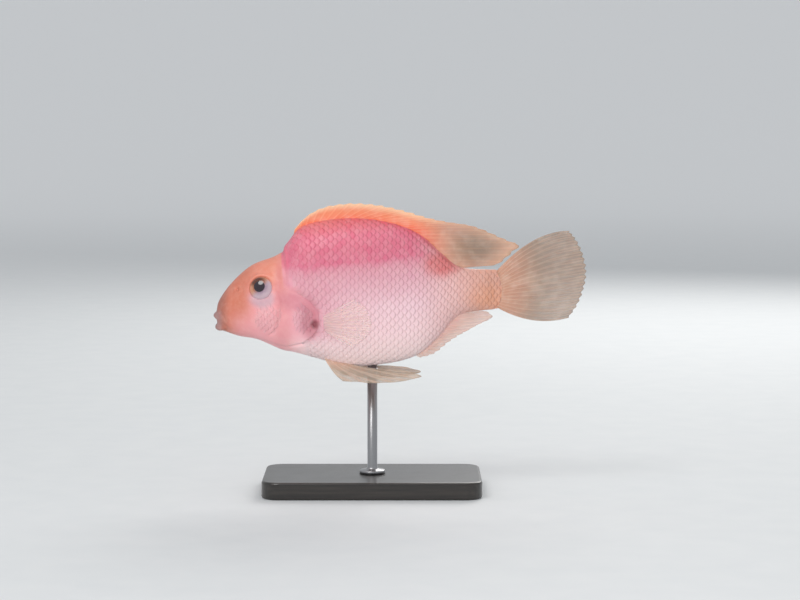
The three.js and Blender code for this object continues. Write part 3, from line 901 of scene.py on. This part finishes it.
def makeScales(side, draws):  # the coat of one side, row by row from the hump to the tail
    bm = bmesh.new()
    layers = (bm.verts.layers.float.new("rim"), bm.verts.layers.float.new("pale"),
              bm.loops.layers.uv.new("OFBake"))
    count = flankScales(bm, layers, side, draws) + faceScales(bm, layers, side, draws)
    bm.normal_update()
    for f in bm.faces:  # every plate faces outwards before it gets its thickness
        normal = skinTree.find_nearest(f.calc_center_median())[1]
        if normal.dot(f.normal) < 0:
            f.normal_flip()
    bm.normal_update()
    raised = bmesh.ops.extrude_face_region(bm, geom=bm.faces[:])
    for v in raised["geom"]:
        if isinstance(v, bmesh.types.BMVert):
            v.co += skinTree.find_nearest(v.co)[1] * scaleShape["thick"]
    bmesh.ops.recalc_face_normals(bm, faces=bm.faces)
    print("scales:", count, "plates,", len(bm.faces), "faces")
    return bm


scaleMaterial = skinFinish("scaleSkin", onScales=True)
scaleDraws = random.Random(scaleShape["seed"])
for side, word in sides:
    scales = makeScales(side, scaleDraws)
    markBelowBack(scales)
    settle(scales)
    finished(f"{word}Scales", scales, "skin_body", [], scaleMaterial)
print("scales done")

# Eyes

eyeColours = dict(
    # painted reflection on the iris's lower side, paler away from the pupil
    lowerIrisReflection=(paint(150, 126, 146), paint(190, 166, 178)),
    warm=paint(200, 134, 100),
    spokes=paint(226, 190, 176),
    round=paint(128, 66, 40),  # round the pupil on the warm side
    brow=paint(92, 42, 22),
    # the lower colour carries the painted reflection on to the rim, the upper is the skin's
    edge=(paint(198, 166, 176), paint(214, 138, 112)),
    pupil=paint(30, 14, 28),
)


def eyeFinish():
    c = eyeColours
    finish = Finish("wetEye", Roughness=0.12, Coat_Weight=1.0, Coat_Roughness=0.03, IOR=1.45)
    flat = finish.node("ShaderNodeUVMap", dict(uv_map="eyeMap"))
    across, upward, _ = finish.parts(flat)
    u, v = (across - 0.5) * eyeShape["mapWidth"], (upward - 0.5) * eyeShape["mapWidth"]  # millimetres
    far = (u ** 2 + v ** 2).root()
    hole = ((u + eyeShape["ahead"]) ** 2 + (v - eyeShape["above"]) ** 2).root()
    spokes = finish.noise(flat, 34.0, 5.0, 0.7)
    warm = (v - u * 0.7).step(-1.8, 1.8)
    # painted reflection at the lower rim, skin colour at the upper
    edge = finish.blend((v - u * 0.3).step(-2.5, 2.5), *c["edge"])
    iris = finish.over(
        # painted reflection below, the warm iris above
        finish.blend(hole.step(2.4, 4.2), *c["lowerIrisReflection"]), (warm, c["warm"]),
        (spokes.step(0.35, 0.7) * 0.25, c["spokes"]),
        (hole.step(3.3, 2.5) * warm * 0.6, c["round"]),
        (patch(u, v, -1.0, 2.9, 3.2, 1.9, 0.5), c["brow"]), (far.step(3.9, 4.9) * 0.9, edge))
    pupil = hole.step(eyeShape["pupil"] + 0.16, eyeShape["pupil"] - 0.12)
    finish.join(Base_Color=finish.blend(pupil, iris, c["pupil"]), Metallic=(1 - pupil) * 0.25,
                Normal=finish.bump(spokes * (1 - pupil), 0.12, 0.0002))
    return finish.material


def makeEye(side, word):
    spot, normal = eyePlaces[side]
    bm = bmesh.new()
    bmesh.ops.create_uvsphere(bm, u_segments=56, v_segments=36, radius=1)
    uv = bm.loops.layers.uv.new("eyeMap")
    reach = eyeShape["radius"]
    for f in bm.faces:
        for loop in f.loops:
            # seen from outside, u runs towards the tail and v upwards on both sides
            x, y, _ = loop.vert.co * (reach / eyeShape["mapWidth"])
            loop[uv].uv = (0.5 + x, 0.5 - side * y)
    bmesh.ops.scale(bm, vec=(reach, reach, eyeShape["depth"]), verts=bm.verts)
    setOn(bm, bm.verts, spot, normal, eyeShape["sunk"] + 0.05)
    bmesh.ops.recalc_face_normals(bm, faces=bm.faces)
    settle(bm)
    finished(f"{word}Eye", bm, "eye", [f"eye_{word}", f"pupil_{word}"], eyeMaterial)


eyeMaterial = eyeFinish()
for side, word in sides:
    makeEye(side, word)
print("eyes done")

# Fins

finColours = dict(
    soft=paint(182, 148, 128),
    ash=paint(118, 110, 92),
    cream=paint(240, 190, 156),
    pale=paint(224, 198, 180),
    clear=paint(244, 212, 210),
    joint=paint(176, 118, 92),
    cloud=paint(250, 232, 216),
)

softFin = dict(  # what a fin is where its own settings don't say otherwise
    perRay=8,  # faces across the space between two rays
    thick=0.9, membrane=0.16, ridge=0.26,
    bow=((0, 0), (0, 0)),  # how far the first and the last ray bend, outwards and upwards
    spines=0,  # the share of the fin, from its front, that spines hold up
    notch=(0, 0.02),  # how deep the margin is cut between two spines, and between two rays
    forking=(-1, 0),  # the share at which rays begin to fork, and at which all do
    forked=1.0, rayShow=0.25, raySolid=0.5, jointShow=0.2, rayColour=finColours["pale"],
    greyRear=False,
)
dorsalShape = dict(
    softFin, slot="fin_dorsal", rays=28, rows=18, perRay=6, ripple=0.18, seed=3,
    root=(-43.2, 23.4), sunk=1.0,
    edge=[(-42.8, 22.2), (-39.8, 25.6), (-36.4, 28.4), (-32.2, 30.5), (-26.9, 31.9), (-18.4, 32.6),
          (-8.4, 31.8), (1.7, 29.5), (12, 26.5), (20.5, 24.8), (27.5, 23.7), (33.2, 21.9),
          (39, 19.3), (44.4, 17), (48.2, 15.6), (46.8, 14.0), (44, 11.7), (41, 9.1), (37.8, 7.5),
          (32.5, 7.2)],
    spines=0.6, notch=(0.06, 0.03), forking=(0.6, 0.72),
    colours=(paint(226, 114, 88), paint(232, 136, 102)), rayColour=finColours["cream"],
    alpha=(1.0, 0.85), forked=0.0, rayShow=0.22, greyRear=True,
)
caudalShape = dict(
    softFin, slot="fin_rear", rays=17, rows=26, ripple=0.3, seed=5, thick=1.7,
    root=[(38.2, 4.8), (39.4, 3.0), (40.4, -2.2), (39.4, -7.4), (38.2, -9.3)],
    edge=[(68, 21.2), (71.1, 17.3), (73.9, 11.2), (75.1, 4.8), (74.3, -1.6), (71.9, -8.1),
          (68, -14.1)],
    bow=((0, 4.2), (0, -3.2)),
    colours=(paint(194, 146, 124), paint(152, 134, 118)),
    alpha=(0.95, 0.5), rayShow=0.2, raySolid=0.3,
)
analShape = dict(
    softFin, slot="fin_rear", rays=16, rows=14, perRay=6, ripple=0.15, seed=8,
    root=(5, 24.6), sunk=-1.0,
    edge=[(7.8, -29.9), (13.8, -28), (19.9, -23.2), (26.3, -19.3), (32, -16.2), (37, -13.6),
          (34.6, -11.2), (29.4, -10.9)],
    spines=0.5, notch=(0.1, 0.03), forking=(0.48, 0.6),
    colours=(paint(222, 180, 172), paint(212, 178, 168)),
    alpha=(0.9, 0.5), forked=0.0, raySolid=0.35,
)
pelvicShape = dict(
    softFin, slot="fin_under", rays=6, rows=26, perRay=12, ripple=0.18, seed=11, thick=1.0,
    root=(-31, -25.4), rootOut=(4.9, 3.6), rootUp=1.9,
    edge=[(-23.3, -38.3), (-11.6, -39.1), (-0.3, -38.7), (8.2, -36.6), (1.7, -34.4), (-8.4, -33.9)],
    edgeOut=(9.8, 6.2), bow=((0.7, -1.1), (0.7, -1.1)),
    colours=(paint(200, 162, 142), paint(176, 158, 142)), alpha=(0.95, 0.45),
)
pectoralShape = dict(
    softFin, slot="fin_under", rays=11, rows=20, ripple=0.22, seed=13, thick=1.1,
    root=[(-32, -12.2), (-30.6, -18.2)], sunk=0.8,
    edge=[(-18.4, -4.2), (-13.4, -8.2), (-11.6, -13.7), (-13.4, -19), (-19.2, -23.6)],
    hinge=(-31, 14), flare=0.5,  # the fin stands out from the flank by this slope
    bow=((1.2, 0), (1.2, 0)),
    colours=(finColours["clear"], finColours["clear"]),
    alpha=(0.4, 0.12), rayShow=0.3, raySolid=0.2, jointShow=0.0,
)


def rayProfile(u, v, rays, split):  # 1 on a ray, 0 between; soft rays fork towards their tips
    place = u * (rays - 1)
    off = place - round(place)
    fork = 0.22 * split * smooth(v, 0.3, 0.9)
    wide = mix(0.16, 0.1, v)
    return max(bell(off, fork, wide), bell(off, -fork, wide))


def makeFin(name, node, fin, rootAt, edgeAt, material, side=1):
    draws = random.Random(fin["seed"])
    phases = [draws.uniform(0, math.tau) for _ in range(2)]
    rays = fin["rays"]
    bm = bmesh.new()
    uv = bm.loops.layers.uv.new("finMap")
    made = bmesh.ops.create_grid(bm, x_segments=(rays - 1) * fin["perRay"], y_segments=fin["rows"],
                                 size=1)
    local = {v: ((v.co.x + 1) / 2, (v.co.y + 1) / 2) for v in made["verts"]}
    for f in bm.faces:
        for loop in f.loops:
            loop[uv].uv = local[loop.vert]

    def spot(u, v):  # the point at a share across the rays and along them, and the ripple there
        place = u * (rays - 1)
        gap = 1 - abs(1 - 2 * (place - math.floor(place)))
        notch = fin["notch"][0 if u < fin["spines"] else 1]
        reach = v * (1 - notch * smooth(gap, 0, 1))
        out, up = (mix(a, b, u) for a, b in zip(*fin["bow"]))
        bow = Vector((0, side * out, up)) * 4 * reach * (1 - reach)
        wave = math.sin(u * 19 + phases[0]) + 0.6 * math.sin(u * 43 + v * 2 + phases[1])
        return rootAt(u).lerp(edgeAt(u), reach) + bow, fin["ripple"] * v * wave

    for v, (a, b) in local.items():
        point, wave = spot(a, b)
        ahead = spot(a, min(b + 0.02, 1))[0] - spot(a, max(b - 0.02, 0))[0]
        across = spot(min(a + 0.004, 1), b)[0] - spot(max(a - 0.004, 0), b)[0]
        v.co = point + across.cross(ahead).normalized() * wave
    bm.normal_update()
    other = bmesh.ops.duplicate(bm, geom=bm.verts[:] + bm.edges[:] + bm.faces[:])
    twin = {a: b for a, b in other["vert_map"].items() if a in local}
    border = [e for e in bm.edges if e.is_boundary]
    for v, (a, b) in local.items():  # the two faces part, furthest at the root and on the rays
        half = mix(fin["thick"], fin["membrane"], smooth(b, -0.05, 0.3)) / 2
        profile = rayProfile(a, b, rays, smooth(a, *fin["forking"]))
        half += fin["ridge"] * (1 - 0.6 * b) * profile / 2 * smooth(b, 0, 0.1)
        tight = min(1, min(a, 1 - a) * rays * 2 + 0.35) * mix(1, 0.55, smooth(b, 0.9, 1))
        away = v.normal * half * tight
        twin[v].co = v.co - away
        v.co += away
    otherFaces = [f for f in other["geom"] if isinstance(f, bmesh.types.BMFace)]
    bmesh.ops.reverse_faces(bm, faces=otherFaces)
    bmesh.ops.bridge_loops(bm, edges=border)
    bmesh.ops.recalc_face_normals(bm, faces=bm.faces)
    settle(bm)
    finished(name, bm, fin["slot"], [node], material)


def finFinish(name, fin):
    finish = Finish(name, Roughness=0.4, Specular_IOR_Level=0.35, Subsurface_Weight=0.2,
                    Subsurface_Scale=0.0012, Subsurface_Radius=(1.0, 0.5, 0.35),
                    Coat_Weight=0.12, Coat_Roughness=0.25)
    c = finColours
    flat = finish.node("ShaderNodeUVMap", dict(uv_map="finMap"))
    u, v, _ = finish.parts(flat)
    coords, along, _, up = finish.place()
    off = ((u * (fin["rays"] - 1) + 0.5).part() - 0.5).size()
    fork = v.step(0.3, 0.9) * 0.22 * fin["forked"]
    ray = (off - fork).size().step(0.2, 0.06)
    joints = (v * 290).sine().step(0.55, 0.95) * ray * v.step(0.25, 0.45)
    cloud = finish.noise(coords, 260.0, 3.0)
    tone = finish.blend(v.step(0.05, 0.55), *fin["colours"])
    atRoot, atEdge = fin["alpha"]
    alpha = v.step(0.0, 0.8) * (atEdge - atRoot) + atRoot
    if fin["greyRear"]:
        rearward = along.step(3, 23)
        tone = finish.over(tone, (rearward * 0.9, c["soft"]),
                           (patch(along, up, 31, 15, 9, 6, 0.7) * 0.7, c["ash"]))
        ray = ray * (1 - rearward * 0.6)
        alpha = alpha - rearward * v.step(0.1, 0.5) * 0.2
    tone = finish.over(tone, (ray * fin["rayShow"], fin["rayColour"]),
                       (joints * fin["jointShow"], c["joint"]),
                       (cloud.step(0.4, 0.75) * 0.15, c["cloud"]))
    if fin["greyRear"]:  # its front part has a pale margin
        tone = finish.blend(v.step(0.55, 1.0) * (1 - rearward * 0.7), tone, c["cream"])
    finish.join(Base_Color=tone, Alpha=alpha + (1 - alpha) * ray * fin["raySolid"],
                Normal=finish.bump(ray * 0.6 + cloud * 0.5, 0.25, 0.0002))
    return finish.material


def flat3(points):
    return [(x, 0, z) for x, z in points]


def middleFins():
    def rootedOn(line, fin):
        def at(u):
            x, z = linePoint(line, mix(*fin["root"], u))
            return Vector((x, 0, z - fin["sunk"]))
        return at

    makeFin("dorsalFin", "dorsal_fin", dorsalShape, rootedOn("back", dorsalShape),
            evenCurve(flat3(dorsalShape["edge"])), finFinish("dorsalMembrane", dorsalShape))
    makeFin("tailFin", "caudal_fin", caudalShape, evenCurve(flat3(caudalShape["root"])),
            lambda u: curveAt(flat3(caudalShape["edge"]), u), finFinish("tailMembrane", caudalShape))
    makeFin("analFin", "anal_fin", analShape, rootedOn("belly", analShape),
            evenCurve(flat3(analShape["edge"])), finFinish("analMembrane", analShape))


def pairedFins(side, word):
    def pelvicRoot(u):
        x = mix(*pelvicShape["root"], u)
        out = side * mix(*pelvicShape["rootOut"], u)
        return Vector((x, out, linePoint("belly", x).y + pelvicShape["rootUp"]))

    def pelvicEdge(u):
        tip = curveAt(flat3(pelvicShape["edge"]), u)
        tip.y = side * mix(*pelvicShape["edgeOut"], u)
        return tip

    def pectoralRoot(u):
        x, z = (mix(a, b, u) for a, b in zip(*pectoralShape["root"]))
        spot, normal = flankPlace(skinTree, x, z, side)
        return spot - normal * pectoralShape["sunk"]

    def pectoralEdge(u):
        tip = curveAt(flat3(pectoralShape["edge"]), u)
        x, out = pectoralShape["hinge"]
        tip.y = side * (out + pectoralShape["flare"] * (tip.x - x))
        return tip

    makeFin(f"{word}PelvicFin", f"pelvic_fin_{word}", pelvicShape, pelvicRoot, pelvicEdge,
            pelvicMaterial, side)
    makeFin(f"{word}PectoralFin", f"pectoral_fin_{word}", pectoralShape, pectoralRoot, pectoralEdge,
            pectoralMaterial, side)


middleFins()
pelvicMaterial = finFinish("pelvicMembrane", pelvicShape)
pectoralMaterial = finFinish("pectoralMembrane", pectoralShape)
for side, word in sides:
    pairedFins(side, word)
print("fins done")

# Stand

standShape = dict(
    length=88, width=50, thick=7, corner=7, rim=1.0,
    rod=2.0, foot=5.2, top=51.2, gap=0.05,
)
toMetres = (0.001, 0.001, 0.001)


def lacquerFinish():
    finish = Finish("blackLacquer", Roughness=0.3, Coat_Weight=0.4, Coat_Roughness=0.15)
    grain = finish.noise(finish.stretched(40.0, 900.0, 900.0), 1.0, 5.0, 0.6)
    haze = finish.noise(finish.coords(), 45.0, 3.0)
    colour = finish.blend(grain.step(0.3, 0.75), paint(30, 27, 25), paint(48, 43, 39))
    finish.join(Base_Color=colour, Roughness=haze * 0.15 + 0.27,
                Normal=finish.bump(grain, 0.12, 0.0002))
    return finish.material


def steelFinish():
    finish = Finish("brushedSteel", Metallic=1.0, Roughness=0.3)
    rings = finish.noise(finish.stretched(60.0, 60.0, 6000.0), 1.0, 4.0, 0.6)
    colour = finish.blend(rings, paint(150, 150, 152), paint(186, 186, 188))
    finish.join(Base_Color=colour, Roughness=rings * 0.2 + 0.22,
                Normal=finish.bump(rings, 0.15, 0.0001))
    return finish.material


def makeBase():
    s = standShape
    bm = bmesh.new()
    made = bmesh.ops.create_cube(bm, size=1)
    bmesh.ops.scale(bm, vec=(s["length"], s["width"], s["thick"]), verts=made["verts"])
    bmesh.ops.translate(bm, vec=(0, 0, s["thick"] / 2), verts=made["verts"])
    uprights = [e for e in bm.edges if abs(e.verts[0].co.z - e.verts[1].co.z) > 1]
    bmesh.ops.bevel(bm, geom=uprights, offset=s["corner"], segments=12, profile=0.5,
                    affect="EDGES", material=-1)
    rims = [e for e in bm.edges
            if abs(e.verts[0].co.z - e.verts[1].co.z) < 0.01 and len(e.link_faces) == 2
            and abs(e.link_faces[0].normal.z - e.link_faces[1].normal.z) > 0.5]
    bmesh.ops.bevel(bm, geom=rims, offset=s["rim"], segments=4, profile=0.5,
                    affect="EDGES", material=-1)
    bmesh.ops.scale(bm, vec=toMetres, verts=bm.verts)
    finished("displayBase", bm, "stand_base", ["stand_base"], lacquerFinish(), shadeSmooth=False)


def makeRod():
    s = standShape
    rod, foot, floor = s["rod"], s["foot"], s["thick"] + s["gap"]
    profile = [(0, floor), (foot, floor), (foot, floor + 1.0), (foot - 0.15, floor + 1.3),
               (foot - 0.5, floor + 1.5), (rod + 0.9, floor + 1.62), (rod + 0.35, floor + 1.9),
               (rod, floor + 2.6), (rod, s["top"]), (0, s["top"])]
    bm = turned(profile, 64, 0.001)
    bmesh.ops.recalc_face_normals(bm, faces=bm.faces)
    bmesh.ops.scale(bm, vec=toMetres, verts=bm.verts)
    finished("displayRod", bm, "stand_rod", ["stand_rod"], steelFinish())


makeBase()
makeRod()
print("stand done")
